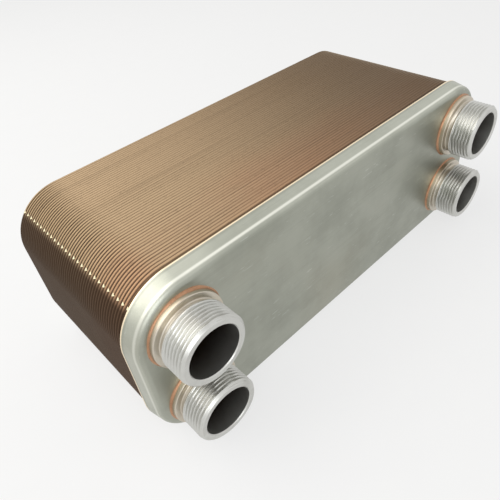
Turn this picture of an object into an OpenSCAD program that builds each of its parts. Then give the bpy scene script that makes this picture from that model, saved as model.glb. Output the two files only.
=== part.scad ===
// Copper-brazed plate heat exchanger, lying on one long side.
// X runs along the plates, Y from the ported front (-Y) to the back (+Y), Z up.
// The origin is under the middle of the pack, on the surface that it lies on.
// The pieces are modelled standing on their backs (local Z towards the front)
// and are then laid on their side as one stack.

/* [Pack] */
// Channel plates in the stack
channel_plates = 54; // [10:2:54]
// Length of the pack over the front cover's rim
pack_length = 332; // [280:2:420]
// Width of the pack over the front cover's rim
pack_width = 120; // [116:2:160]
// Radius of the pack's corners at the rim
corner_radius = 36; // [28:1:46]

/* [Channel plates] */
// Thickness of the pressed sheet
plate_thickness = 0.4; // [0.3:0.05:0.5]
// Distance from one plate to the next
plate_pitch = 2.3; // [1.9:0.1:2.8]
// Height of a plate's folded skirt, below its flat
plate_skirt = 9.2; // [6:0.2:12]
// Radius inside the fold of a plate's skirt
plate_bend = 0.8; // [0.4:0.1:1.2]
// Copper-filled gap between neighbouring plates
braze_gap = 0.05; // [0.03:0.01:0.1]
// Spacing of the herringbone ribs along the plate
rib_spacing = 27; // [20:1:34]
// Angle of each rib to the plate's width
rib_angle = 30; // [20:1:40]
// Width of a rib's flat top
rib_top = 4; // [2:0.1:6]
// Slope of a rib's sides
rib_slope = 45; // [40:1:60]
// Flat margin between the ribs and the skirt
rib_margin = 5; // [3:0.5:8]
// Diameter of the pressed mark on a plate's corner
mark_diameter = 1.1; // [0.6:0.1:1.4]
// Height of the pressed mark
mark_height = 0.3; // [0.1:0.05:0.4]

/* [Covers] */
// Thickness of the two covers
cover_thickness = 1.6; // [1:0.1:2]
// Height of the front cover's folded skirt
front_skirt = 11.5; // [9:0.5:14]
// Height of the back cover's folded skirt
back_skirt = 6; // [4:0.5:7]
// Radius inside the fold of a cover's skirt
cover_bend = 2.3; // [1:0.1:3]

/* [Connections] */
// Distance from a port's centre to the pack's end and to its side
port_inset = 32; // [30:0.5:33]
// Diameter of the port holes in the plates
port_hole = 31; // [26:0.5:32]
// Width of the flat seat around a plate's port hole
port_seat = 5; // [4:0.5:6]
// Major diameter of the connections' pipe thread
thread_diameter = 41.91; // [38:0.01:43]
// Length of the threaded part
thread_length = 16; // [12:0.5:30]
// Diameter of the plain neck behind the thread
neck_diameter = 38.2; // [37:0.1:38.5]
// Length of the plain neck
neck_length = 4; // [2:0.5:8]
// Diameter of the connection's foot
foot_diameter = 46; // [44:0.5:48]
// Thickness of the foot
foot_thickness = 4; // [2:0.5:6]
// Bore of a connection
bore_diameter = 32; // [26:0.5:32.5]
// Chamfer at the mouth of a connection
mouth_chamfer = 1.6; // [0.5:0.1:2]
// Outer diameter of the spigot that passes through the cover
spigot_diameter = 36; // [34:0.5:37]
// Clearance between the spigot and its hole
spigot_clearance = 0.1; // [0.05:0.05:0.4]

/* [Hidden] */
$fn = 72;
flare = asin((plate_thickness + braze_gap) / plate_pitch);
press_depth = plate_pitch - plate_thickness - braze_gap;
plates_height = channel_plates * plate_pitch;
// How far a fold line lies inside the outer rim of the front cover
rim_offset = front_skirt * tan(flare) + cover_thickness * cos(flare);
fold_length = pack_length - 2 * rim_offset;
fold_width = pack_width - 2 * rim_offset;
fold_radius = corner_radius - rim_offset;
port_x = pack_length / 2 - port_inset;
port_y = pack_width / 2 - port_inset;
seat_radius = port_hole / 2 + port_seat;
// Radius kept clear of ribs round each port, past the foot of a raised seat
field_hole = seat_radius + (plate_pitch - braze_gap) / tan(rib_slope) + 1;
// The back cover nests inside the first plate
back_drop = cover_thickness + braze_gap;
back_inset = back_drop / cos(flare) - back_drop * tan(flare);
// The front cover's fold stays above the flat of the plate that it covers
front_bend = min(cover_bend, (plate_pitch - plate_thickness) / tan((90 - flare) / 2));
connection_height = foot_thickness + neck_length + thread_length;
// Half way between the first plate's hem and the mouths of the connections
stack_middle = (plates_height + cover_thickness + connection_height - plate_skirt) / 2;

function two_digits(i) = i < 10 ? str("0", i) : str(i);
function plate_name(i) = str("channel_plate_", two_digits(i));

// Half the width of a pressing's outer face at a height, from that of its flat top
function outer_half(top, z) = top + (press_depth + plate_thickness - z) / tan(rib_slope);
// The same for the inner face of the pressing
function inner_half(top, z) = outer_half(top, z) - plate_thickness / sin(rib_slope);

// Lays the standing stack on its side, over the origin
module lay_down() {
    translate([0, stack_middle, pack_width / 2]) rotate([90, 0, 0]) children();
}

module at_ports(sides = [-1, 1]) {
    for (x = [-1, 1], y = sides) translate([x * port_x, y * port_y]) children();
}

// An outline with round corners, inset from the fold line
module rounded_outline(inset = 0) {
    l = fold_length - 2 * inset;
    w = fold_width - 2 * inset;
    r = fold_radius - inset;
    square([l, w - 2 * r], center = true);
    square([l - 2 * r, w], center = true);
    for (x = [-1, 1], y = [-1, 1])
        translate([x * (l / 2 - r), y * (w / 2 - r)]) circle(r);
}

// The section of a fold and its skirt. The fold line, at fold_at, is where
// the undersides of the flat and of the skirt would meet.
module skirt_section(fold_at, thickness, height, bend) {
    outward = [cos(flare), sin(flare)];
    along = [sin(flare), -cos(flare)];
    tangent = bend * tan((90 - flare) / 2);
    fold = [fold_at, 0];
    centre = [fold_at - tangent, -bend];
    knee = fold + tangent * along;
    hem = fold + height / cos(flare) * along;
    far = 2 * (bend + thickness);
    polygon([knee, hem, hem + thickness * outward, knee + thickness * outward]);
    intersection() {
        translate(centre) difference() {
            circle(bend + thickness);
            circle(bend);
        }
        polygon([centre, centre + far * outward, centre + [far, far], centre + [0, far]]);
    }
}

// A pan: a flat sheet with a flared skirt folded down all round it
module pan(inset, thickness, height, bend) {
    l = fold_length - 2 * inset;
    w = fold_width - 2 * inset;
    r = fold_radius - inset;
    linear_extrude(thickness) rounded_outline(inset + bend * tan((90 - flare) / 2));
    for (turn = [0, 180]) rotate(turn) {
        translate([l / 2 - r, w / 2 - r])
            rotate_extrude(angle = 90) skirt_section(r, thickness, height, bend);
        translate([r - l / 2, w / 2 - r]) rotate(90)
            rotate_extrude(angle = 90) skirt_section(r, thickness, height, bend);
        translate([l / 2 - r, 0]) rotate([90, 0, 0]) linear_extrude(w - 2 * r, center = true)
            skirt_section(r, thickness, height, bend);
        rotate(90) translate([w / 2 - r, 0]) rotate([90, 0, 0])
            linear_extrude(l - 2 * r, center = true)
                skirt_section(r, thickness, height, bend);
    }
}

// The side of the plate's pressed field, away from its edge and its ports
module rib_field(inset) {
    intersection() {
        difference() {
            rounded_outline(rib_margin + inset);
            at_ports() circle(field_hole + inset);
        }
        translate([-pack_length / 2, 0]) square([pack_length, pack_width / 2]);
    }
}

// Straight ribs, one leg of each herringbone, with the section given by two half widths
module rib_legs(low, high, low_half, high_half) {
    step = rib_spacing * cos(rib_angle);
    reach = fold_length * sin(rib_angle) + fold_width / cos(rib_angle);
    count = ceil(fold_length / 2 / step);
    rotate(-rib_angle) rotate([90, 0, 0]) linear_extrude(reach, center = true)
        for (i = [-count : count]) translate([i * step, 0])
            polygon([[-low_half, low], [low_half, low], [high_half, high], [-high_half, high]]);
}

// Both legs of the herringbone, inside the pressed field
module herringbone(low, high, low_half, high_half, inset) {
    for (side = [0, 1]) mirror([0, side, 0]) intersection() {
        rib_legs(low, high, low_half, high_half);
        translate([0, 0, -plate_pitch]) linear_extrude(3 * plate_pitch) rib_field(inset);
    }
}

// The small round pressing that tells a plate from its turned neighbour
module corner_mark() {
    band = plate_pitch / cos(flare);
    slant = plate_skirt / cos(flare) - band / 2;
    rotate(45) translate([fold_radius + slant * sin(flare), 0, -slant * cos(flare)])
        rotate([0, 90 - flare, 0])
            translate([0, 0, plate_thickness / 2])
                cylinder(h = plate_thickness / 2 + mark_height, d = mark_diameter);
}

// One pressed plate. Its ports at +Y stand on raised seats, those at -Y lie low.
// A plate whose skirt the front cover hides has no mark.
module plate_sheet(marked) {
    top = press_depth + plate_thickness;
    middle = plate_thickness / 2;
    below = -plate_thickness;
    rib_half = rib_top / 2;
    difference() {
        union() {
            pan(0, plate_thickness, plate_skirt, plate_bend);
            herringbone(middle, top, outer_half(rib_half, middle), rib_half, 0);
            at_ports([1]) translate([0, 0, middle])
                cylinder(h = top - middle, r1 = outer_half(seat_radius, middle), r2 = seat_radius);
            if (marked)
                translate([fold_radius - fold_length / 2, fold_width / 2 - fold_radius]) rotate(90)
                    corner_mark();
        }
        herringbone(below, press_depth, inner_half(rib_half, below),
            inner_half(rib_half, press_depth), plate_thickness);
        at_ports([1]) translate([0, 0, below])
            cylinder(h = press_depth - below, r1 = inner_half(seat_radius, below),
                r2 = inner_half(seat_radius, press_depth));
        at_ports() translate([0, 0, -plate_pitch]) cylinder(h = 3 * plate_pitch, d = port_hole);
    }
}

// Channel plates, each turned half round on the one before
module channel_plate(i) {
    // How far the mark's upper side lies behind the front cover's hem
    mark_back = (channel_plates + 1 - i) * plate_pitch - (plate_pitch + mark_diameter) / 2
        + plate_skirt - front_skirt;
    color("peru") lay_down() translate([0, 0, (i - 1) * plate_pitch]) rotate(180 * (i % 2 + 1))
        plate_sheet(mark_back > 0);
}

module front_cover() {
    color("silver") lay_down() translate([0, 0, plates_height]) difference() {
        pan(0, cover_thickness, front_skirt, front_bend);
        at_ports() translate([0, 0, -cover_thickness])
            cylinder(h = 3 * cover_thickness, d = spigot_diameter + 2 * spigot_clearance);
    }
}

module back_cover() {
    color("silver") lay_down() translate([0, 0, -back_drop])
        pan(back_inset, cover_thickness, back_skirt, cover_bend);
}

// A turned connection: spigot, foot, plain neck and the blank of its thread
module connection() {
    spigot = cover_thickness;
    neck_at = spigot + foot_thickness;
    thread_at = neck_at + neck_length;
    mouth = thread_at + thread_length;
    difference() {
        union() {
            cylinder(h = neck_at, d = spigot_diameter);
            translate([0, 0, spigot]) cylinder(h = foot_thickness, d = foot_diameter);
            translate([0, 0, neck_at]) cylinder(h = neck_length, d = neck_diameter);
            translate([0, 0, thread_at]) cylinder(h = thread_length - mouth_chamfer, d = thread_diameter);
            translate([0, 0, mouth - mouth_chamfer])
                cylinder(h = mouth_chamfer, d1 = thread_diameter, d2 = thread_diameter - 2 * mouth_chamfer);
        }
        translate([0, 0, -1]) cylinder(h = mouth + 2, d = bore_diameter);
    }
}

// Connections 1 and 2 are at the end with -X, 1 and 3 at the side that is up
module connection_at(i) {
    x = i <= 2 ? -port_x : port_x;
    y = i % 2 == 1 ? port_y : -port_y;
    color("gainsboro") lay_down() translate([x, y, plates_height]) connection();
}

front_cover();
back_cover();
for (i = [1 : 4])
    connection_at(i);
for (i = [1 : channel_plates])
    channel_plate(i);
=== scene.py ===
"""Looks of a copper-brazed plate heat exchanger that lies on one long side.

X runs along the plates, -Y out of the threaded connections, +Z up. Sizes are in millimetres where a
name ends in _mm and in metres elsewhere.
"""

import logging
import math
import random
from dataclasses import dataclass, field
from enum import Enum
from typing import Callable, Iterable, Optional, Sequence, Union

import bpy
import bmesh
from mathutils import Matrix, Vector
from mathutils.geometry import tessellate_polygon


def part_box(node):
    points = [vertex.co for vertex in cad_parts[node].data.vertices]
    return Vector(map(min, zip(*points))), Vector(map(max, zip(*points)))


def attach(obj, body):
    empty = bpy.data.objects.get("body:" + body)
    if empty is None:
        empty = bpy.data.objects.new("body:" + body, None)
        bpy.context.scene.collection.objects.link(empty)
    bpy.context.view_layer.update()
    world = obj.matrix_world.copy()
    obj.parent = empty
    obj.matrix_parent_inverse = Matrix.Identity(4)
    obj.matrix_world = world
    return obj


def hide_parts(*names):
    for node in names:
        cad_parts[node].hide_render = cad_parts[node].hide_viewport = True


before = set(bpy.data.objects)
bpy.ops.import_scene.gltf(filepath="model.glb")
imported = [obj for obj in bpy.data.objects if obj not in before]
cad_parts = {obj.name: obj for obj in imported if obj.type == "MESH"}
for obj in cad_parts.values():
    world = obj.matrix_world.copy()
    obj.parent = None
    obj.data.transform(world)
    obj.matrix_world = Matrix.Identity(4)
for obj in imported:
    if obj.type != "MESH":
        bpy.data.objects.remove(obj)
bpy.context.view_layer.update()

MM = 0.001
BODY = "root"

log = logging.getLogger("exchanger")

Colour = tuple[float, float, float]
Point = tuple[float, float]
Operand = Union["Wire", float, int]


class Wire:
    """A shader value that can be used in a Python expression."""

    def __init__(self, bench: "Bench", socket: bpy.types.NodeSocket) -> None:
        """Wrap a socket.

        Args:
            bench: The material whose tree holds the socket.
            socket: An output socket that carries a number.
        """
        self.bench = bench
        self.socket = socket

    def _math(self, operation: str, *values: Operand) -> "Wire":
        """Add a Math node.

        Args:
            operation: The Math node's operation.
            *values: What goes into its sockets, in order.

        Returns:
            The node's result.
        """
        sockets = dict(enumerate(values))
        return self.bench.node("ShaderNodeMath", {"operation": operation}, sockets)

    def __add__(self, other: Operand) -> "Wire":
        """Return this value plus another."""
        return self._math("ADD", self, other)

    def __radd__(self, other: Operand) -> "Wire":
        """Return another value plus this one."""
        return self._math("ADD", other, self)

    def __sub__(self, other: Operand) -> "Wire":
        """Return this value less another."""
        return self._math("SUBTRACT", self, other)

    def __rsub__(self, other: Operand) -> "Wire":
        """Return another value less this one."""
        return self._math("SUBTRACT", other, self)

    def __mul__(self, other: Operand) -> "Wire":
        """Return this value times another."""
        return self._math("MULTIPLY", self, other)

    def __rmul__(self, other: Operand) -> "Wire":
        """Return another value times this one."""
        return self._math("MULTIPLY", other, self)

    def __truediv__(self, other: Operand) -> "Wire":
        """Return this value divided by another."""
        return self._math("DIVIDE", self, other)

    def __pow__(self, other: Operand) -> "Wire":
        """Return this value raised to a power."""
        return self._math("POWER", self, other)

    def fraction(self) -> "Wire":
        """Return the part of this value after the point."""
        return self._math("FRACT", self)

    def size(self) -> "Wire":
        """Return this value without its sign."""
        return self._math("ABSOLUTE", self)

    def step(self, low: float, high: float) -> "Wire":
        """Rise smoothly from 0 to 1 between two values.

        Args:
            low: Where the result is 0. It may be above high, for a falling step.
            high: Where the result is 1.

        Returns:
            The smooth step.
        """
        settings = {"interpolation_type": "SMOOTHSTEP"}
        return self.bench.node("ShaderNodeMapRange", settings, {0: self, 1: low, 2: high, 3: 0.0, 4: 1.0})


class Bench:
    """One material's node tree, with a method that adds any node."""

    def __init__(self, name: str) -> None:
        """Start a material with one Principled shader.

        Args:
            name: The material's name.
        """
        self.material = bpy.data.materials.new(name)
        self.material.use_nodes = True
        self.tree = self.material.node_tree
        self.tree.nodes.clear()
        self.output = self.tree.nodes.new("ShaderNodeOutputMaterial")

    def _feed(self, node: bpy.types.Node, key: Union[int, str], value: object) -> None:
        """Set or link one input socket.

        Args:
            node: The node that is fed.
            key: The socket's index or name.
            value: A wire, a socket, or a plain value.
        """
        socket = node.inputs[key]
        if isinstance(value, Wire):
            self.tree.links.new(value.socket, socket)
        elif isinstance(value, bpy.types.NodeSocket):
            self.tree.links.new(value, socket)
        else:
            socket.default_value = value

    def raw(self, kind: str, settings: Optional[dict] = None, sockets: Optional[dict] = None) -> bpy.types.Node:
        """Add a node of any type.

        Args:
            kind: The node's type.
            settings: Its properties. The key "stops" holds a ramp's positions and colours.
            sockets: Values or links of its inputs, by index or name.

        Returns:
            The node.
        """
        made = self.tree.nodes.new(kind)
        for key, value in (settings or {}).items():
            if key == "stops":
                self._ramp(made, value)
            else:
                setattr(made, key, value)
        for key, value in (sockets or {}).items():
            self._feed(made, key, value)
        return made

    def node(self, kind: str, settings: Optional[dict] = None, sockets: Optional[dict] = None,
             out: Union[int, str] = 0) -> Wire:
        """Add a node and return one of its outputs as a wire.

        Args:
            kind: The node's type.
            settings: Its properties.
            sockets: Values or links of its inputs.
            out: The output that is wanted.

        Returns:
            The output.
        """
        return Wire(self, self.raw(kind, settings, sockets).outputs[out])

    @staticmethod
    def _ramp(made: bpy.types.Node, stops: Sequence[tuple[float, Colour]]) -> None:
        """Set a colour ramp's stops.

        Args:
            made: The ramp node.
            stops: Position and colour of each stop.
        """
        elements = made.color_ramp.elements
        while len(elements) < len(stops):
            elements.new(0.5)
        for element, (place, colour) in zip(elements, stops):
            element.position = place
            element.color = (*colour, 1.0)

    def position(self) -> Wire:
        """Return the place on the object, in metres, in its own frame."""
        return self.node("ShaderNodeTexCoord", None, None, "Object")

    def axis(self, name: str) -> Wire:
        """Return one coordinate of the place on the object.

        Args:
            name: X, Y or Z.

        Returns:
            The coordinate in metres.
        """
        return self.node("ShaderNodeSeparateXYZ", None, {0: self.position()}, name)

    def noise(self, scale: Sequence[float], detail: float = 4.0, roughness: float = 0.55,
              shift: float = 0.0) -> Wire:
        """Return noise with its own scale along each axis.

        Args:
            scale: Cycles per metre along X, Y and Z.
            detail: Octaves.
            roughness: Weight of the finer octaves.
            shift: Moves the pattern, so that two noises differ.

        Returns:
            A value around 0.5.
        """
        moved = self.node("ShaderNodeMapping", None,
                          {"Vector": self.position(), "Location": (shift, shift, shift), "Scale": tuple(scale)})
        sockets = {"Vector": moved, "Scale": 1.0, "Detail": detail, "Roughness": roughness}
        return self.node("ShaderNodeTexNoise", None, sockets, 0)

    def blend(self, factor: Operand, a: object, b: object) -> Wire:
        """Mix two colours.

        Args:
            factor: 0 gives the first and 1 the second.
            a: A colour or a wire.
            b: A colour or a wire.

        Returns:
            The mixed colour.
        """
        def colour(value: object) -> object:
            """Return a plain colour with its alpha, or a wire as it is."""
            return value if isinstance(value, Wire) else (*value, 1.0)
        sockets = {0: factor, 6: colour(a), 7: colour(b)}
        return self.node("ShaderNodeMix", {"data_type": "RGBA"}, sockets, 2)

    def bump(self, height: Wire, distance: float, strength: float) -> Wire:
        """Return a normal bent by a height.

        Args:
            height: The height field.
            distance: Its depth in metres.
            strength: Its weight.

        Returns:
            The normal.
        """
        sockets = {"Height": height, "Distance": distance, "Strength": strength}
        return self.node("ShaderNodeBump", None, sockets, "Normal")

    def shade(self, **inputs: object) -> bpy.types.Material:
        """Finish with a Principled shader.

        Args:
            **inputs: Its sockets, with spaces written as underscores.

        Returns:
            The material.
        """
        named = {key.replace("_", " "): value for key, value in inputs.items()}
        shader = self.raw("ShaderNodeBsdfPrincipled", None, named)
        self.tree.links.new(shader.outputs[0], self.output.inputs[0])
        return self.material


class Turn(Enum):
    """How a channel plate lies in the stack."""

    STRAIGHT = "straight"
    TURNED = "turned"


@dataclass(frozen=True)
class StackMap:
    """Places on the stack: the bands between hems, and the end faces that carry painted shade."""

    low: tuple[float, float, float]
    high: tuple[float, float, float]
    radius: float
    mark_height: float
    hem_y: float
    pitch: float

    def band(self, bench: Bench) -> Wire:
        """Return 0 at a plate's own hem, rising to 1 under the hem of its neighbour in front."""
        return ((self.hem_y - bench.axis("Y")) / self.pitch + 1000.0).fraction()

    def corner(self, bench: Bench) -> Wire:
        """Return 1 near a rounded end and 0 along the middle."""
        return ((self.high[0] - bench.axis("X").size()) / self.radius).step(1.15, 0.55)

    def face(self, bench: Bench) -> Wire:
        """Return 1 on an end, between its two rows of marks."""
        reach = (bench.axis("Z") - (self.low[2] + self.high[2]) / 2).size() - self.mark_height
        return reach.step(0.0015, -0.0035) * self.corner(bench)


@dataclass(frozen=True)
class CopperedPlate:
    """Pressed steel sheet, browned in the furnace, with a thin wash of copper."""

    tan: Colour = (0.482, 0.343, 0.206)
    copper: Colour = (0.50, 0.278, 0.160)
    umber_and_shade: Colour = (0.120, 0.078, 0.044)
    end_face_shade: Colour = (0.040, 0.021, 0.010)
    ridge_highlight: Colour = (0.52, 0.365, 0.185)
    shade_and_speck: Colour = (0.036, 0.018, 0.007)
    mark_glint: Colour = (0.84, 0.76, 0.52)

    def build(self, turn: Turn, mark: Point, places: StackMap, cover_y: float) -> bpy.types.Material:
        """Make the finish of one kind of plate.

        Args:
            turn: Which of the two ways round the plate lies.
            mark: X and Z of the pressed mark.
            places: Places on the stack.
            cover_y: Y of the front cover's hem.

        Returns:
            The material.
        """
        bench = Bench(f"coppered_plate_{turn.value}")
        x, y, z = (bench.axis(name) for name in "XYZ")
        low, high, pitch = places.low, places.high, places.pitch
        along = (x - low[0]) / (high[0] - low[0])
        across = (high[1] - y) / (high[1] - low[1])
        band, corner, face = places.band(bench), places.corner(bench), places.face(bench)
        cloud = bench.noise((14, 22, 14), 3.0, 0.5)
        streak = bench.noise((5, 700, 60), 3.0, 0.6, 3.1)
        tone = bench.noise((3, 0.5 / pitch, 3), 2.0, 0.5, 9.3)
        grain = bench.noise((260, 900, 900), 2.0, 0.6, 7.7)
        reddened = 0.35 + 0.5 * along.step(0.15, 0.5) + 0.6 * corner
        ruddy = (across.step(0.25, 0.95) * reddened + (cloud - 0.5) * 0.6).step(0.1, 1.1)
        colour = bench.blend(ruddy, self.tan, self.copper)
        # Darker towards the far end, and a little towards the far rear.
        colour = bench.blend(along.step(0.08, 0.95) * (0.88 + 0.06 * across), colour, self.umber_and_shade)
        colour = bench.blend(along.step(0.25, 0.6) * across * 0.16, colour, self.umber_and_shade)
        # Painted shade: the rounded ends are darkened, most at the front.
        colour = bench.blend(corner * (0.70 - 0.55 * across), colour, self.umber_and_shade)
        # Painted highlight: a light band on each hem's ridge round the rounded ends, where the hems catch the light.
        ridge = band.step(0.0, 0.08) * band.step(0.36, 0.18)
        colour = bench.blend(ridge * corner * (1.0 - face) * (0.6 - 0.35 * across), colour, self.ridge_highlight)
        # Random tone and streaks in the brown.
        colour = bench.blend(tone.step(0.5, 0.8) * 0.07 + streak.step(0.5, 0.75) * 0.34, colour, self.umber_and_shade)
        # Dark specks of grain.
        colour = bench.blend(grain.step(0.55, 0.8) * 0.3, colour, self.shade_and_speck)
        # Painted shade: the end faces between the rows of marks go dark plum, a little less on the ridges.
        colour = bench.blend(face * (0.98 - 0.12 * ridge), colour, self.end_face_shade)
        # Painted shade in the groove just behind each neighbour's hem, deepest round the ends.
        depth = 0.24 + 0.26 * along.step(0.4, 0.1) + 0.48 * corner * (1.0 - 0.5 * face) * (1.0 - 0.45 * across)
        shadow = band.step(0.46 - 0.1 * corner, 0.66 - 0.14 * corner) + band.step(0.05, 0.0) * 0.4
        colour = bench.blend(shadow * depth * (0.6 + 0.8 * streak), colour, self.shade_and_speck)
        # Painted shade: a dark line on the plates just behind the front cover's hem.
        colour = bench.blend(((y - cover_y) / pitch).step(1.5, 1.0) * 0.75, colour, self.shade_and_speck)
        # The pressed marks are real; their bright cream spot is a painted glint where they catch the light.
        side = ((x - mark[0]) + (z - mark[1])) * math.sqrt(0.5)
        reach = side.size() / (0.00125 * (1.05 - band))
        spot = reach.step(1.0, 0.7) * band.step(0.06, 0.14) * band.step(0.86, 0.76)
        near_mark = (x - mark[0]).size().step(0.006, 0.004)
        colour = bench.blend(spot * near_mark, colour, self.mark_glint)
        rough = 0.48 + (cloud - 0.5) * 0.2 + grain * 0.12 + face * 0.1
        height = band.step(1.0, 0.35) * 1.5 + grain * 0.18 + streak * 0.3
        return bench.shade(Base_Color=colour, Metallic=0.4, Roughness=rough, Specular_IOR_Level=0.22,
                           Normal=bench.bump(height, 0.00025, 0.7))


@dataclass(frozen=True)
class CoverSteel:
    """Rolled stainless sheet with fine scratches and a faint heat tint, a painted highlight along its bend, a painted
    straw-coloured highlight along its hem, and painted shade beside the hem and on its face.
    """

    steel: Colour = (0.46, 0.470, 0.405)
    dull: Colour = (0.24, 0.25, 0.21)
    bend_highlight: Colour = (0.86, 0.86, 0.78)
    tint: Colour = (0.40, 0.35, 0.25)
    straw: Colour = (0.88, 0.74, 0.53)

    def build(self, name: str, hem_y: float, face_y: float, half_x: float, radius: float) -> bpy.types.Material:
        """Make the cover's finish.

        Args:
            name: The material's name.
            hem_y: Y of the skirt's free edge.
            face_y: Y of the outer face.
            half_x: Half of the cover's length.
            radius: Radius of its corners.

        Returns:
            The material.
        """
        bench = Bench(name)
        y = bench.axis("Y")
        straight = ((half_x - bench.axis("X").size()) / radius).step(0.5, 1.3)
        along = (y - face_y) / (hem_y - face_y)
        cloud = bench.noise((22, 22, 22), 4.0, 0.6)
        rolled = bench.noise((9, 1400, 1400), 3.0, 0.65, 2.3)
        heat = bench.noise((9, 9, 9), 3.0, 0.55, 11.0)
        scratch = bench.noise((90, 2200, 700), 2.0, 0.7, 5.9)
        colour = bench.blend(cloud.step(0.35, 0.75) * 0.45, self.steel, self.dull)
        colour = bench.blend(rolled.step(0.5, 0.8) * 0.3, colour, self.dull)
        colour = bench.blend(heat.step(0.45, 0.75) * 0.3, colour, self.tint)
        # Painted shade: the outer face and the start of the bend are darker.
        colour = bench.blend(along.step(0.12, 0.04) * 0.35, colour, self.dull)
        # Painted highlight along the bend, weaker towards the corners.
        colour = bench.blend(along.step(0.15, 0.24) * along.step(0.37, 0.28) * (0.4 + 0.35 * straight), colour, self.bend_highlight)
        # Painted shade: a dark band on the skirt just before the hem.
        colour = bench.blend(along.step(0.76, 0.83) * along.step(0.90, 0.88) * 0.4, colour, self.dull)
        # Painted highlight: a bright straw-coloured line along the hem.
        colour = bench.blend(along.step(0.885, 0.91) * 0.95, colour, self.straw)
        colour = bench.blend(scratch.step(0.66, 0.74) * 0.3, colour, (0.75, 0.76, 0.73))
        rough = 0.34 + cloud.step(0.3, 0.8) * 0.10 + rolled * 0.08
        return bench.shade(Base_Color=colour, Metallic=0.95, Roughness=rough,
                           Normal=bench.bump(rolled + scratch * 0.6, 0.00006, 0.45))


@dataclass(frozen=True)
class TurnedSteel:
    """Turned stainless steel, with tool marks round its axis, browned roots and painted shade deep in its bores."""

    steel: Colour = (0.60, 0.60, 0.57)
    dull: Colour = (0.33, 0.31, 0.28)
    straw: Colour = (0.56, 0.44, 0.28)
    bore_shade: Colour = (0.10, 0.07, 0.05)

    def build(self, foot_y: float, mouth_y: float, centres: Sequence[Point], bore: float) -> bpy.types.Material:
        """Make the connections' finish.

        Args:
            foot_y: Y where a connection meets the cover.
            mouth_y: Y of its mouth.
            centres: X and Z of the connections' axes.
            bore: Radius of their bores.

        Returns:
            The material.
        """
        bench = Bench("turned_steel")
        x, y, z = (bench.axis(name) for name in "XYZ")
        tool = bench.noise((60, 5200, 60), 2.0, 0.6)
        cloud = bench.noise((60, 60, 60), 4.0, 0.6, 1.7)
        depth = (y - mouth_y) / (foot_y - mouth_y)
        heat = depth.step(0.62, 1.0)
        half_x = max(abs(centre[0]) for centre in centres)
        low_z, high_z = min(c[1] for c in centres), max(c[1] for c in centres)
        off_x = x.size() - half_x
        off_z = (z - (low_z + high_z) / 2).size() - (high_z - low_z) / 2
        inside = (off_x * off_x + off_z * off_z).step((bore * 1.03) ** 2, (bore * 1.01) ** 2)
        colour = bench.blend(cloud.step(0.4, 0.8) * 0.4, self.steel, self.dull)
        colour = bench.blend(heat * 0.75 * (0.5 + cloud), colour, self.straw)
        colour = bench.blend(tool.step(0.55, 0.8) * 0.35, colour, self.dull)
        # Painted shade inside the bores, deeper towards the cover.
        colour = bench.blend(inside * depth.step(0.0, 0.9) * (0.75 + 0.3 * cloud), colour, self.bore_shade)
        rough = 0.22 + tool * 0.14 + cloud * 0.1
        return bench.shade(Base_Color=colour, Metallic=0.97, Roughness=rough,
                           Normal=bench.bump(tool, 0.00005, 0.5))


@dataclass(frozen=True)
class BrazeCopper:
    """Copper that ran out of the joints and set with a dull skin."""

    copper: Colour = (0.50, 0.28, 0.165)
    dark: Colour = (0.17, 0.090, 0.050)
    hem_and_end_shade: Colour = (0.045, 0.027, 0.017)

    def build(self, name: str, places: Optional[StackMap] = None) -> bpy.types.Material:
        """Make the finish of the braze.

        Args:
            name: The material's name.
            places: Places on the stack, for copper in its seams.

        Returns:
            The material.
        """
        bench = Bench(name)
        cloud = bench.noise((90, 90, 90), 4.0, 0.6)
        speck = bench.noise((1100, 1100, 1100), 2.0, 0.6, 4.4)
        colour = bench.blend(cloud.step(0.35, 0.8) * 0.45, self.copper, self.dark)
        colour = bench.blend(speck.step(0.5, 0.75) * 0.5, colour, self.dark)
        if places:
            # Painted shade on the seam where it runs in behind a hem.
            joint = places.band(bench).step(0.975, 0.9)
            colour = bench.blend(joint * 0.85, colour, self.hem_and_end_shade)
            # Painted shade on the end faces, as on the plates.
            colour = bench.blend(places.face(bench) * 0.8, colour, self.hem_and_end_shade)
        return bench.shade(Base_Color=colour, Metallic=0.85, Roughness=0.34 + cloud * 0.2,
                           Normal=bench.bump(speck, 0.00012, 0.6))


def make_object(name: str, mesh: bpy.types.Mesh, finish: bpy.types.Material) -> bpy.types.Object:
    """Put a mesh in the scene.

    Args:
        name: The piece's name.
        mesh: Its mesh, in the frame's own coordinates.
        finish: Its material.

    Returns:
        The object.
    """
    made = bpy.data.objects.new(name, mesh)
    bpy.context.scene.collection.objects.link(made)
    mesh.materials.append(finish)
    return made


def mesh_from(name: str, points: Sequence[Vector], faces: Iterable[Sequence[int]],
              merge: float = 1e-6, sharp: float = 40.0) -> bpy.types.Mesh:
    """Make a clean mesh with smooth shading and sharp edges.

    Args:
        name: The mesh's name.
        points: Its corners.
        faces: Its faces, as indices.
        merge: Corners nearer than this are joined.
        sharp: Edges over this angle, in degrees, stay sharp.

    Returns:
        The mesh.
    """
    mesh = bpy.data.meshes.new(name)
    mesh.from_pydata([tuple(p) for p in points], [], [tuple(f) for f in faces])
    work = bmesh.new()
    work.from_mesh(mesh)
    bmesh.ops.remove_doubles(work, verts=work.verts, dist=merge)
    bmesh.ops.dissolve_degenerate(work, edges=work.edges, dist=merge / 10)
    bmesh.ops.recalc_face_normals(work, faces=work.faces)
    for face in work.faces:
        face.smooth = True
    limit = math.radians(sharp)
    for edge in work.edges:
        edge.smooth = len(edge.link_faces) != 2 or edge.calc_face_angle(0.0) < limit
    work.to_mesh(mesh)
    work.free()
    return mesh


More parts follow.
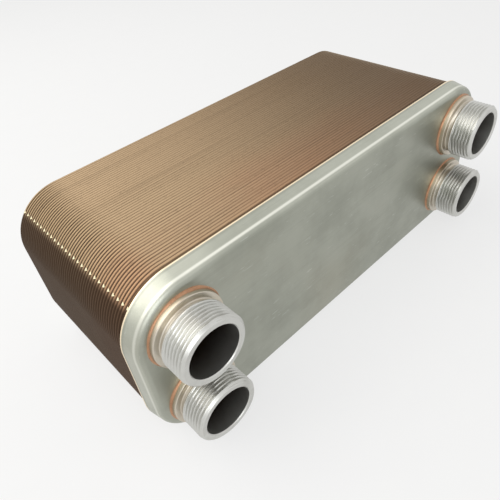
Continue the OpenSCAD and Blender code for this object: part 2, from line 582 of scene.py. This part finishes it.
@dataclass(frozen=True)
class Station:
    """A place on an outline: the centre that it turns about, and the way outwards."""

    centre: Point
    outward: Point
    radius: float

    def at(self, offset: float) -> Point:
        """Return X and Z at an offset outwards from the outline."""
        reach = self.radius + offset
        return self.centre[0] + reach * self.outward[0], self.centre[1] + reach * self.outward[1]


@dataclass(frozen=True)
class Outline:
    """A rounded rectangle in the XZ plane, which rims and seams follow."""

    half_x: float
    half_z: float
    middle_z: float
    radius: float
    segments: int = 20
    straights: int = 1

    def stations(self) -> list[Station]:
        """Return the places along the outline, counter-clockwise."""
        corners = []
        for turn, (sx, sz) in enumerate(((1, 1), (-1, 1), (-1, -1), (1, -1))):
            centre = (sx * (self.half_x - self.radius), self.middle_z + sz * (self.half_z - self.radius))
            for step in range(self.segments + 1):
                angle = math.radians(90 * (turn + step / self.segments))
                corners.append(Station(centre, (math.cos(angle), math.sin(angle)), self.radius))
        places = []
        for index, here in enumerate(corners):
            places.append(here)
            following = corners[(index + 1) % len(corners)]
            if following.centre == here.centre:
                continue
            for part in range(1, self.straights):
                share = part / self.straights
                centre = tuple(a + (b - a) * share for a, b in zip(here.centre, following.centre))
                places.append(Station(centre, here.outward, self.radius))
        return places


def sweep(places: Sequence[Station], section: Callable[[int], Sequence[Point]],
          closed: bool) -> tuple[list[Vector], list[Sequence[int]]]:
    """Carry a section round an outline.

    Args:
        places: The outline's stations.
        section: Gives, for each station, the offset outwards and Y of the section's points.
        closed: Whether the section's last point joins its first.

    Returns:
        Corners and faces.
    """
    points: list[Vector] = []
    count = 0
    for index, place in enumerate(places):
        drawn = section(index)
        count = len(drawn)
        for offset, y in drawn:
            x, z = place.at(offset)
            points.append(Vector((x, y, z)))
    faces = []
    for place in range(len(places)):
        following = (place + 1) % len(places)
        for index in range(count if closed else count - 1):
            other = (index + 1) % count
            faces.append((place * count + index, following * count + index,
                          following * count + other, place * count + other))
    return points, faces


def turn_about_y(centre: Point, rows: Sequence[Sequence[Point]]) -> tuple[list[Vector], list[Sequence[int]]]:
    """Join rows of points round an axis along Y into a closed skin.

    Args:
        centre: X and Z of the axis.
        rows: For each step round the axis, the radius and Y of the section's points.

    Returns:
        Corners and faces.
    """
    steps, count = len(rows), len(rows[0])
    points = []
    for step, row in enumerate(rows):
        angle = math.tau * step / steps
        for radius, y in row:
            points.append(Vector((centre[0] + radius * math.cos(angle), y, centre[1] + radius * math.sin(angle))))
    faces = []
    for step in range(steps):
        following = (step + 1) % steps
        for index in range(count):
            other = (index + 1) % count
            faces.append((step * count + index, following * count + index,
                          following * count + other, step * count + other))
    return points, faces


@dataclass
class PlateStack:
    """The pressed channel plates and the copper that joins their skirts."""

    sheet_mm: float = 0.4
    gap_mm: float = 0.05
    corner_mm: float = 36.0
    bead_mm: float = 0.42
    seed: int = 5
    finish: CopperedPlate = field(default_factory=CopperedPlate)
    braze: BrazeCopper = field(default_factory=BrazeCopper)

    def __post_init__(self) -> None:
        """Read the stack's places from the frame."""
        self.names = sorted(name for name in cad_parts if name.startswith("channel_plate_"))
        first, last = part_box(self.names[0]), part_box(self.names[-1])
        self.hem_y = first[1][1]
        self.pitch = (self.hem_y - last[1][1]) / (len(self.names) - 1)
        self.low = (first[0][0], last[0][1], first[0][2])
        self.high = (first[1][0], first[1][1], first[1][2])
        self.flare = math.asin((self.sheet_mm + self.gap_mm) * MM / self.pitch)
        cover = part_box("front_cover")
        self.radius = self.corner_mm * MM - (cover[1][0] - self.high[0])
        middle_z = (self.low[2] + self.high[2]) / 2
        mark_height = abs(self.mark_place(Turn.STRAIGHT)[1] - middle_z)
        self.map = StackMap(self.low, self.high, self.radius, mark_height, self.hem_y, self.pitch)

    def outline(self) -> Outline:
        """Return the outline of a plate's hem."""
        half_z = (self.high[2] - self.low[2]) / 2
        return Outline(self.high[0], half_z, self.low[2] + half_z, self.radius, 24, 60)

    def mark_place(self, turn: Turn) -> Point:
        """Return X and Z of the pressed mark, half way round a corner.

        Args:
            turn: Which way round the plate lies.

        Returns:
            The mark's place.
        """
        side = -1 if turn is Turn.STRAIGHT else 1
        middle_z = (self.low[2] + self.high[2]) / 2
        diagonal = self.radius * math.sqrt(0.5)
        x = side * (self.high[0] - self.radius + diagonal)
        z = middle_z - side * (self.high[2] - middle_z - self.radius + diagonal)
        return x, z

    def dress(self) -> None:
        """Give each CAD plate its finish."""
        cover_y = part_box("front_cover")[1][1]
        finishes = {turn: self.finish.build(turn, self.mark_place(turn), self.map, cover_y) for turn in Turn}
        for index, name in enumerate(self.names):
            turn = Turn.STRAIGHT if index % 2 == 0 else Turn.TURNED
            give_finish(name, finishes[turn])
        log.info("channel plates: %d dressed", len(self.names))

    def bead(self, rng: random.Random, hem: float, depth: float, count: int) -> Callable[[int], Sequence[Point]]:
        """Return the section of a seam's copper fillet, which runs unevenly.

        Args:
            rng: Source of the uneven run.
            hem: Y of the hem that the fillet lies under.
            depth: Thickness of the sheet that ends at the hem.
            count: Number of stations.

        Returns:
            A function that gives the section at a station.
        """
        knots = [rng.uniform(0.55, 1.15) for _ in range(count // 4 + 1)]
        outward = (math.cos(self.flare), -math.sin(self.flare))
        along = (math.sin(self.flare), math.cos(self.flare))

        def point(inner: Point, out: float, down: float) -> Point:
            """Return a place given from the hem's inner corner."""
            return (inner[0] + out * outward[0] + down * along[0], inner[1] + out * outward[1] + down * along[1])

        def section(station: int) -> Sequence[Point]:
            """Return the fillet's section at a station."""
            place = station / 4
            index = int(place)
            share = place - index
            size = knots[index] * (1 - share) + knots[(index + 1) % len(knots)] * share
            width = self.bead_mm * MM * size
            rise = depth * min(0.85, 0.6 * size)
            gap = self.gap_mm * MM
            inner = (-self.sheet_mm * MM * math.cos(self.flare), hem)
            return (point(inner, -gap, -0.0001), point(inner, rise, -0.0001), point(inner, rise, 0.00001),
                    point(inner, rise * 0.35, width * 0.3), point(inner, 0.0, width * 0.62),
                    point(inner, -gap, width))
        return section

    def build(self) -> None:
        """Make one copper seam under each hem that shows."""
        rng = random.Random(self.seed)
        finish = self.braze.build("braze_seam", self.map)
        places = self.outline().stations()
        made = 0
        for index in range(1, len(self.names)):
            hem = self.hem_y - index * self.pitch
            points, faces = sweep(places, self.bead(rng, hem, self.sheet_mm * MM, len(places)), True)
            name = f"braze_seam_{index:02d}"
            seam = make_object(name, mesh_from(name, points, faces), finish)
            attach(seam, BODY)
            made += 1
        log.info("braze seams: %d", made)


@dataclass
class CoverPan:
    """A folded cover: a flat with holes and a flared skirt with a rounded hem."""

    node: str
    outline: Outline
    face_y: float
    hem_y: float
    bend_mm: float
    finish: bpy.types.Material
    holes: Sequence[Point] = ()
    hole_mm: float = 18.1
    sheet_mm: float = 1.6
    edge_mm: float = 0.35
    flare: float = math.radians(11.28)

    def section(self) -> list[Point]:
        """Return the skirt's section, from the outer face round the hem to the underside."""
        sheet, bend, edge = self.sheet_mm * MM, self.bend_mm * MM, self.edge_mm * MM
        height = self.hem_y - self.face_y - sheet
        fold = (-(height * math.tan(self.flare) + sheet * math.cos(self.flare)), self.face_y + sheet)
        along = (math.sin(self.flare), math.cos(self.flare))
        outward = (math.cos(self.flare), -math.sin(self.flare))
        sweep_angle = math.pi / 2 - self.flare
        tangent = bend * math.tan(sweep_angle / 2)
        centre = (fold[0] - tangent, fold[1] + bend)

        def arc(about: Point, radius: float, start: float, end: float, steps: int) -> list[Point]:
            """Return points on an arc, with angles from the way to the face."""
            turns = [start + (end - start) * step / steps for step in range(steps + 1)]
            return [(about[0] + radius * math.sin(a), about[1] - radius * math.cos(a)) for a in turns]

        hem_in = (fold[0] + height / math.cos(self.flare) * along[0],
                  fold[1] + height / math.cos(self.flare) * along[1])

        def from_hem(out: float, back: float) -> Point:
            """Return a place given from the hem's inner corner."""
            return (hem_in[0] + out * outward[0] - back * along[0], hem_in[1] + out * outward[1] - back * along[1])

        quarter = math.pi / 2
        points = arc(centre, bend + sheet, 0.0, sweep_angle, 10)
        points += arc(from_hem(sheet - edge, edge), edge, sweep_angle, sweep_angle + quarter, 5)
        points += arc(from_hem(edge, edge), edge, sweep_angle + quarter, sweep_angle + 2 * quarter, 5)
        points += arc(centre, bend, sweep_angle, 0.0, 8)
        return points

    def flat(self, places: Sequence[Station], offset: float, y: float) -> tuple[list[Vector], list[Sequence[int]]]:
        """Return one side of the flat, with its holes.

        Args:
            places: The outline's stations.
            offset: Offset of the flat's edge.
            y: Its Y.

        Returns:
            Corners and faces.
        """
        loops = [[Vector((*place.at(offset), 0.0)) for place in places]]
        for x, z in self.holes:
            angles = [math.tau * step / 64 for step in range(64)]
            reach = self.hole_mm * MM
            loops.append([Vector((x + reach * math.cos(a), z + reach * math.sin(a), 0.0)) for a in angles])
        faces = [tuple(face) for face in tessellate_polygon(loops)]
        return [Vector((p.x, y, p.y)) for loop in loops for p in loop], faces

    def build(self) -> bpy.types.Object:
        """Make the cover and let it stand for its CAD node.

        Returns:
            The cover.
        """
        places = self.outline.stations()
        section = self.section()
        points, faces = sweep(places, lambda _: section, False)
        for offset, y in (section[0], section[-1]):
            more, extra = self.flat(places, offset, y)
            faces += [tuple(index + len(points) for index in face) for face in extra]
            points += more
        for x, z in self.holes:
            reach = self.hole_mm * MM
            start = len(points)
            for step in range(64):
                angle = math.tau * step / 64
                for y in (section[0][1], section[-1][1]):
                    points.append(Vector((x + reach * math.cos(angle), y, z + reach * math.sin(angle))))
            for step in range(64):
                here, there = start + 2 * step, start + 2 * ((step + 1) % 64)
                faces.append((here, there, there + 1, here + 1))
        name = f"{self.node}_pressing"
        cover = make_object(name, mesh_from(name, points, faces, 1e-5), self.finish)
        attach(cover, BODY)
        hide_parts(self.node)
        log.info("%s: %d points", name, len(points))
        return cover


@dataclass
class Connection:
    """A turned connection with its cut thread, and the braze ring at its foot."""

    node: str
    finish: bpy.types.Material
    braze: bpy.types.Material
    bore_mm: float = 16.0
    spigot_mm: float = 18.0
    foot_mm: float = 4.0
    neck_mm: float = 4.0
    neck_radius_mm: float = 19.1
    major_mm: float = 20.955
    thread_pitch_mm: float = 2.309
    thread_depth_mm: float = 1.479
    chamfer_mm: float = 1.6
    sheet_mm: float = 1.6
    steps: int = 96
    samples: int = 9

    def __post_init__(self) -> None:
        """Read the connection's place from the frame."""
        self.low, self.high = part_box(self.node)
        self.centre = ((self.low[0] + self.high[0]) / 2, (self.low[2] + self.high[2]) / 2)
        self.foot_radius = (self.high[0] - self.low[0]) / 2
        self.mouth_y = self.low[1]
        self.face_y = self.high[1] - self.sheet_mm * MM

    def thread_radius(self, travel_mm: float, turn: float, length_mm: float) -> float:
        """Return the thread's radius.

        Args:
            travel_mm: Distance along the thread from its start at the neck.
            turn: Share of a turn round the axis.
            length_mm: Length of the thread.

        Returns:
            The radius in millimetres.
        """
        phase = (travel_mm / self.thread_pitch_mm - turn) % 1.0
        ridge = abs(2 * phase - 1)
        flank = min(1.0, max(0.0, (ridge - 0.14) / 0.72))
        fade = min(1.0, travel_mm / 1.2, max(0.0, (length_mm - travel_mm)) / 0.9)
        cut = self.thread_depth_mm * (1 - flank) * fade
        radius = self.major_mm - cut
        lead = max(0.0, self.chamfer_mm - (length_mm - travel_mm))
        return min(radius, self.major_mm - lead)

    def row(self, turn: float) -> list[Point]:
        """Return the section at a share of a turn, as radius and Y.

        Args:
            turn: Share of a turn round the axis.

        Returns:
            The section's points.
        """
        round_mm = 0.5
        foot = self.foot_radius / MM
        length = (self.face_y - self.mouth_y) / MM - self.foot_mm - self.neck_mm
        marks: list[Point] = [(self.bore_mm, -self.sheet_mm), (self.spigot_mm, -self.sheet_mm), (self.spigot_mm, 0.0)]
        marks += [(foot - 0.1, 0.0), (foot, 0.1)]
        for step in range(5):
            angle = math.radians(90 * step / 4)
            marks.append((foot - round_mm + round_mm * math.cos(angle),
                          self.foot_mm - round_mm + round_mm * math.sin(angle)))
        neck = self.neck_radius_mm
        for step in range(5):
            angle = math.radians(90 * step / 4)
            marks.append((neck + 0.8 - 0.8 * math.sin(angle), self.foot_mm + 0.8 - 0.8 * math.cos(angle)))
        start = self.foot_mm + self.neck_mm
        marks += [(neck, start - (self.major_mm - neck)), (self.major_mm - 0.02, start)]
        count = int(length / self.thread_pitch_mm * self.samples)
        for step in range(1, count + 1):
            travel = length * step / count
            marks.append((self.thread_radius(travel, turn, length), start + travel))
        mouth = start + length
        marks += [(self.bore_mm + 0.6, mouth), (self.bore_mm, mouth - 0.6)]
        return [(radius * MM, self.face_y - height * MM) for radius, height in marks]

    def build(self) -> None:
        """Make the threaded piece and its braze ring."""
        rows = [self.row(step / self.steps) for step in range(self.steps)]
        points, faces = turn_about_y(self.centre, rows)
        name = f"{self.node}_turned"
        made = make_object(name, mesh_from(name, points, faces, 1e-7, 34.0), self.finish)
        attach(made, BODY)
        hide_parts(self.node)
        self.ring()
        log.info("%s: %d points", name, len(points))

    def ring(self) -> None:
        """Make the uneven fillet of copper round the foot."""
        rng = random.Random(self.node)
        waves = [(rng.uniform(0.05, 0.16), rng.uniform(0, math.tau), count) for count in (2, 3, 5, 9)]
        rows = []
        for step in range(self.steps):
            angle = math.tau * step / self.steps
            size = 1.1 + sum(a * math.sin(count * angle + p) for a, p, count in waves)
            foot, face = self.foot_radius, self.face_y
            width, rise = 1.1 * size * MM, 1.0 * size * MM
            rows.append([(foot - 0.0004, face + 0.00005), (foot - 0.0004, face - rise * 0.95), (foot, face - rise),
                         (foot + width * 0.18, face - rise * 0.5), (foot + width * 0.45, face - rise * 0.2),
                         (foot + width, face - 0.00002), (foot + width, face + 0.00005)])
        points, faces = turn_about_y(self.centre, rows)
        name = self.node.replace("connection", "braze_ring")
        made = make_object(name, mesh_from(name, points, faces), self.braze)
        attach(made, BODY)


def give_finish(node: str, finish: bpy.types.Material) -> None:
    """Put a finish on a CAD node.

    Args:
        node: The node's name.
        finish: The material.
    """
    mesh = bpy.data.objects[node].data
    mesh.materials.clear()
    mesh.materials.append(finish)


@dataclass(frozen=True)
class Studio:
    """Pale floor, soft lamps and the camera."""

    lens_pixels: float = 474.8
    image_pixels: float = 500.0
    sensor_mm: float = 36.0
    eye_mm: tuple[float, float, float] = (-205.4, -202.15, 278.7)
    forward: tuple[float, float, float] = (0.4702, 0.5750, -0.6696)
    down: tuple[float, float, float] = (-0.5131, -0.4392, -0.7374)

    def floor(self) -> None:
        """Make the floor, which the camera and reflections see as nearly white."""
        half = 6.0
        mesh = mesh_from("floor", [Vector((x, y, 0.0)) for x, y in
                                   ((-half, -half), (half, -half), (half, half), (-half, half))], [(0, 1, 2, 3)])
        bench = Bench("pale_floor")
        grain = bench.noise((40, 40, 40), 3.0)
        colour = bench.blend(grain, (0.80, 0.80, 0.79), (0.84, 0.84, 0.83))
        shader = bench.raw("ShaderNodeBsdfDiffuse", None, {"Color": colour})
        glow = bench.raw("ShaderNodeEmission", None, {"Color": (1.0, 1.0, 1.0, 1.0), "Strength": 0.94})
        path = bench.raw("ShaderNodeLightPath")
        seen = (Wire(bench, path.outputs["Is Camera Ray"]) + Wire(bench, path.outputs["Is Glossy Ray"])
                + Wire(bench, path.outputs["Is Transmission Ray"]))
        mixed = bench.raw("ShaderNodeMixShader", None,
                          {0: seen * 0.72, 1: shader.outputs[0], 2: glow.outputs[0]})
        bench.tree.links.new(mixed.outputs[0], bench.output.inputs[0])
        make_object("floor", mesh, bench.material)

    def world(self) -> None:
        """Make the surroundings: white to the camera and reflections, soft light to the rest."""
        world = bpy.data.worlds.new("studio")
        world.use_nodes = True
        bpy.context.scene.world = world
        tree = world.node_tree
        tree.nodes.clear()
        output = tree.nodes.new("ShaderNodeOutputWorld")
        ground = tree.nodes.new("ShaderNodeBackground")
        path = tree.nodes.new("ShaderNodeLightPath")
        total = None
        for name in ("Is Camera Ray", "Is Glossy Ray", "Is Transmission Ray"):
            if total is None:
                total = path.outputs[name]
                continue
            joined = tree.nodes.new("ShaderNodeMath")
            joined.operation = "MAXIMUM"
            tree.links.new(total, joined.inputs[0])
            tree.links.new(path.outputs[name], joined.inputs[1])
            total = joined.outputs[0]
        strength = tree.nodes.new("ShaderNodeMapRange")
        strength.inputs["To Min"].default_value = 0.55
        strength.inputs["To Max"].default_value = 1.0
        tree.links.new(total, strength.inputs["Value"])
        tree.links.new(strength.outputs[0], ground.inputs["Strength"])
        tree.links.new(ground.outputs[0], output.inputs[0])
        ground.inputs["Color"].default_value = (1.0, 1.0, 1.0, 1.0)

    def lamp(self, name: str, place: Sequence[float], size: float, power: float, colour: Colour) -> None:
        """Add a soft square lamp that points at the object.

        Args:
            name: The lamp's name.
            place: Its place in metres.
            size: Its side in metres.
            power: Its power in watts.
            colour: Its colour.
        """
        data = bpy.data.lights.new(name, "AREA")
        data.energy, data.size, data.color = power, size, colour
        made = bpy.data.objects.new(name, data)
        bpy.context.scene.collection.objects.link(made)
        made.location = place
        aim = Vector((0.0, 0.0, 0.06)) - Vector(place)
        made.rotation_euler = aim.to_track_quat("-Z", "Y").to_euler()

    def camera(self) -> None:
        """Place the camera as the photograph's geometry gives it."""
        data = bpy.data.cameras.new("camera")
        data.sensor_width = self.sensor_mm
        data.lens = self.lens_pixels / self.image_pixels * self.sensor_mm
        data.clip_start = 0.01
        made = bpy.data.objects.new("camera", data)
        bpy.context.scene.collection.objects.link(made)
        back = -Vector(self.forward).normalized()
        up = -Vector(self.down)
        up = (up - up.dot(back) * back).normalized()
        right = up.cross(back)
        turned = Matrix((right, up, back)).transposed().to_4x4()
        made.matrix_world = Matrix.Translation(Vector(self.eye_mm) * MM) @ turned
        bpy.context.scene.camera = made

    def build(self) -> None:
        """Set up the whole studio."""
        bpy.context.scene.view_settings.view_transform = "Standard"
        self.floor()
        self.world()
        self.lamp("key", (-0.5, 0.5, 0.9), 1.2, 9.0, (1.0, 0.97, 0.92))
        self.lamp("fill", (-0.7, -0.8, 0.7), 0.9, 5.0, (0.95, 0.97, 1.0))
        self.camera()
        log.info("studio ready")


def rim_of(node: str, radius: float) -> Outline:
    """Return the outline of a cover's rim.

    Args:
        node: The cover's CAD node.
        radius: Its corner radius.

    Returns:
        The outline.
    """
    low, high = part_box(node)
    half_z = (high[2] - low[2]) / 2
    return Outline(high[0], half_z, low[2] + half_z, radius, 28)


def main() -> None:
    """Build and dress every sub-assembly, in order."""
    logging.basicConfig(level=logging.INFO, format="%(name)s: %(message)s")
    Studio().build()
    stack = PlateStack()
    stack.dress()
    stack.build()
    turned = sorted(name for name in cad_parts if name.startswith("connection_"))
    front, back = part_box("front_cover"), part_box("back_cover")
    braze = BrazeCopper().build("braze_copper")
    spans = [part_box(name) for name in turned]
    centres = [((low[0] + high[0]) / 2, (low[2] + high[2]) / 2) for low, high in spans]
    steel = TurnedSteel().build(front[0][1], spans[0][0][1], centres, Connection.bore_mm * MM)
    connections = [Connection(name, steel, braze) for name in turned]
    for connection in connections:
        connection.build()
    rim = 36.0 * MM
    cover_finish = CoverSteel().build("rolled_steel_front", front[1][1], front[0][1], front[1][0], rim)
    CoverPan("front_cover", rim_of("front_cover", rim), front[0][1], front[1][1], 2.3, cover_finish,
             [connection.centre for connection in connections]).build()
    back_finish = CoverSteel().build("rolled_steel_back", back[1][1], back[0][1], back[1][0], rim)
    CoverPan("back_cover", rim_of("back_cover", rim - (front[1][0] - back[1][0])), back[0][1], back[1][1],
             2.3, back_finish).build()


if __name__ == "__main__":
    main()
